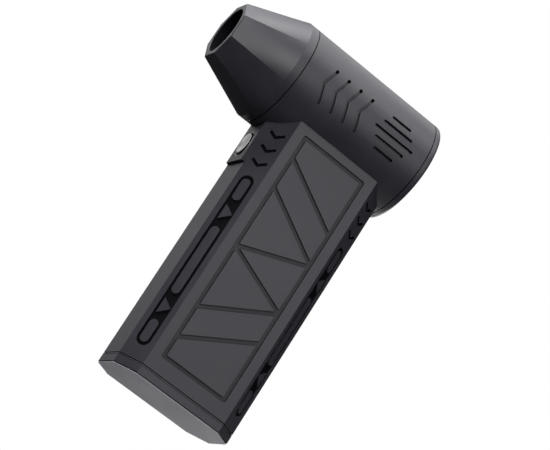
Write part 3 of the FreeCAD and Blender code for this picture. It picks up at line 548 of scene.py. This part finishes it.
# Nodes with a finish of their own in place of their slot's.
single_finishes = {
    "handle_housing": moulded("handle_plastic", BODY, BODY_ROUGHNESS, mask=sunk_mask,
                              masked_tone=0.68),
    # The nozzle's air way walls are painted darker and less glossy: painted shade inside the
    # bore.
    "nozzle": moulded("nozzle_plastic", BODY, BODY_ROUGHNESS, mask=bore_shade_mask, masked_tone=0.2,
                      edge_radius=0.00025),
    "barrel_housing": moulded("barrel_plastic", BODY, BODY_ROUGHNESS, reach=SLOT_SHADE_REACH),
    "motor_leads": wire_sleeve("motor_lead_sleeve", YELLOW_LEAD, BLUE_LEAD, "X",
                               MOTOR_LEADS_SPLIT),
    "charge_leads": wire_sleeve("charge_lead_sleeve", BLACK_LEAD, RED_LEAD, "Y",
                                CHARGE_LEADS_SPLIT),
}

for subpart in frame["record"]["subparts"]:
    node = cad_nodes[subpart["node"]]
    finish = single_finishes.get(subpart["node"], finishes[subpart["material_slot"]])
    for index in range(len(node.data.materials)):
        node.data.materials[index] = finish


# ---- camera ----
# Angles are in degrees. The camera looks up at the right side and is rolled, so the handle leans.
CAMERA_AZIMUTH = 72.535
CAMERA_ELEVATION = -16.63
CAMERA_ROLL = 32.886
CAMERA_DISTANCE = 0.93986
CAMERA_TARGET = Vector((0.0, -0.00079, 0.09150))
CAMERA_CLIP = (0.05, 30.0)
SENSOR_WIDTH_MM = 36.0
FOCAL_LENGTH_MM = 144.0


def direction(azimuth, elevation):
    """Unit vector towards a place round the object; azimuth 0 is in front (-Y), 90 is +X."""
    a = math.radians(azimuth)
    e = math.radians(elevation)
    return Vector((math.sin(a) * math.cos(e), -math.cos(a) * math.cos(e), math.sin(e)))


def make_camera():
    back = direction(CAMERA_AZIMUTH, CAMERA_ELEVATION)
    level = (-back).cross(Vector((0, 0, 1))).normalized()
    raised = back.cross(level)
    roll = math.radians(CAMERA_ROLL)
    right = level * math.cos(roll) + raised * math.sin(roll)
    up = raised * math.cos(roll) - level * math.sin(roll)
    data = bpy.data.cameras.new("camera")
    data.sensor_width = SENSOR_WIDTH_MM
    data.lens = FOCAL_LENGTH_MM
    data.clip_start, data.clip_end = CAMERA_CLIP
    camera = bpy.data.objects.new("camera", data)
    bpy.context.scene.collection.objects.link(camera)
    turn = Matrix((right, up, back)).transposed().to_4x4()
    camera.matrix_world = Matrix.Translation(CAMERA_TARGET + back * CAMERA_DISTANCE) @ turn
    bpy.context.scene.camera = camera


# ---- studio ----
# Soft boxes round the object, as wide and as far off as the two sizes below:
# name, azimuth and elevation in degrees, power in watts.
SOFT_BOX_WIDTH = 0.6
SOFT_BOX_DISTANCE = 1.0
LIGHTS = [
    ("above", 0, 90, 2.8),
    ("front", 340, 5, 1.0),
    ("front_high", 0, 60, 9.6),
    ("right_high", 120, 60, 2.7),
    ("rear_high", 180, 60, 0.2),
    ("left_rear_high", 240, 60, 1.2),
    ("left_front_high", 300, 60, 0.9),
    ("right_front", 65, 17, 4.6),
    ("right", 107, 17, 1.8),
    ("right_level", 90, 0, 0.4),
    ("left_front", 315, 30, 1.7),
    ("left", 288, 17, 0.35),
    ("left_rear", 235, 5, 4.0),
    ("left_rear_low", 225, -30, 4.2),
    ("rear_below", 180, -60, 0.4),
    ("right_below", 60, -60, 0.3),
]

WHITE = (1, 1, 1, 1)
AMBIENT = 0.02
FLOOR_GAP = 0.0002
FLOOR_SIZE = 8.0
FLOOR_DARK = (0.80, 0.80, 0.80)
FLOOR_LIGHT = (0.84, 0.84, 0.84)
FLOOR_PATCH = 0.4
# The floor starts to fade at the first distance from the object and is gone at the second.
FLOOR_FADE = (0.25, 1.1)


def make_lights():
    for name, azimuth, elevation, power in LIGHTS:
        towards = direction(azimuth, elevation)
        data = bpy.data.lights.new(name, "AREA")
        data.shape = "DISK"
        data.size = SOFT_BOX_WIDTH
        data.energy = power
        light = bpy.data.objects.new(name, data)
        bpy.context.scene.collection.objects.link(light)
        light.location = OBJECT_CENTRE + towards * SOFT_BOX_DISTANCE
        light.rotation_mode = "QUATERNION"
        light.rotation_quaternion = towards.to_track_quat("Z", "Y")


def make_world():
    """White behind the object, and a dimmer white for the light that comes from all round."""
    world = bpy.data.worlds.new("studio")
    bpy.context.scene.world = world
    world.use_nodes = True
    tree = world.node_tree
    tree.nodes.clear()
    seen = add(tree, "ShaderNodeBackground", {"Color": WHITE})
    around = add(tree, "ShaderNodeBackground", {"Color": WHITE, "Strength": AMBIENT})
    from_camera = add(tree, "ShaderNodeLightPath").outputs["Is Camera Ray"]
    mix = add(tree, "ShaderNodeMixShader",
              {0: from_camera, 1: around.outputs[0], 2: seen.outputs[0]})
    add(tree, "ShaderNodeOutputWorld", {"Surface": mix.outputs[0]})


def make_floor():
    """Pale floor seen from above only; further out it fades into the white behind it."""
    data = bpy.data.meshes.new("floor")
    half = FLOOR_SIZE / 2
    z = cad_low.z - FLOOR_GAP
    data.from_pydata([(-half, -half, z), (half, -half, z), (half, half, z), (-half, half, z)],
                     [], [(0, 1, 2, 3)])
    floor = bpy.data.objects.new("floor", data)
    bpy.context.scene.collection.objects.link(floor)
    material, tree = new_material("floor_paper")
    where = place(tree)
    tone = mix_colour(tree, noise(tree, where, FLOOR_PATCH), FLOOR_DARK, FLOOR_LIGHT)
    paper = add(tree, "ShaderNodeBsdfDiffuse", {"Color": tone})
    clear = add(tree, "ShaderNodeBsdfTransparent")
    from_below = add(tree, "ShaderNodeNewGeometry").outputs["Backfacing"]
    away = vector_node(tree, "LENGTH", where)
    unseen = math_node(tree, "MAXIMUM", from_below, share(tree, away, *FLOOR_FADE))
    mix = add(tree, "ShaderNodeMixShader", {0: unseen, 1: paper.outputs[0], 2: clear.outputs[0]})
    add(tree, "ShaderNodeOutputMaterial", {"Surface": mix.outputs[0]})
    data.materials.append(material)
    floor.visible_shadow = False
    floor.visible_diffuse = False
    floor.visible_glossy = False
    floor.visible_transmission = False


make_camera()
make_lights()
make_world()
make_floor()
bpy.context.scene.view_settings.view_transform = "Standard"
